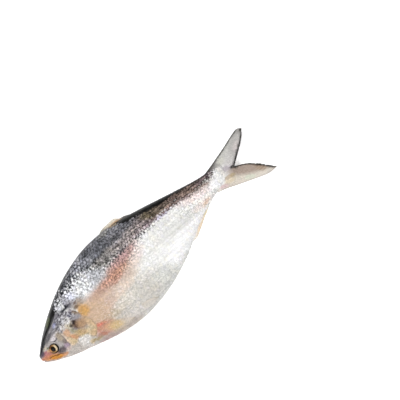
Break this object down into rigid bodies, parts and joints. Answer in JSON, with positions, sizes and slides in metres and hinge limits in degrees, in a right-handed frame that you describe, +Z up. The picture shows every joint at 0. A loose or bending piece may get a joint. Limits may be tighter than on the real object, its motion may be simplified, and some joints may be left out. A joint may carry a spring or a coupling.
{
  "type": "whole raw fish",
  "caption": "Whole raw shad with head, fins and scales on, deep flat body and forked tail, lying on one flank.",
  "frame": {"origin": "middle of the fish's length and depth, on the surface it lies on", "axes": "+X towards the tail, +Y towards the back, +Z up, out of the left flank"},
  "size_m": [0.42, 0.1277, 0.0404],
  "materials": {
    "fish_skin": "wet silver scales, slate on the back, with tan fins",
    "fish_eye": "clear wet cornea over a gold iris and a black pupil"
  },
  "bodies": {
    "root": {"fish": "fish_skin", "eye_left": "fish_eye", "eye_right": "fish_eye"}
  },
  "joints": []
}
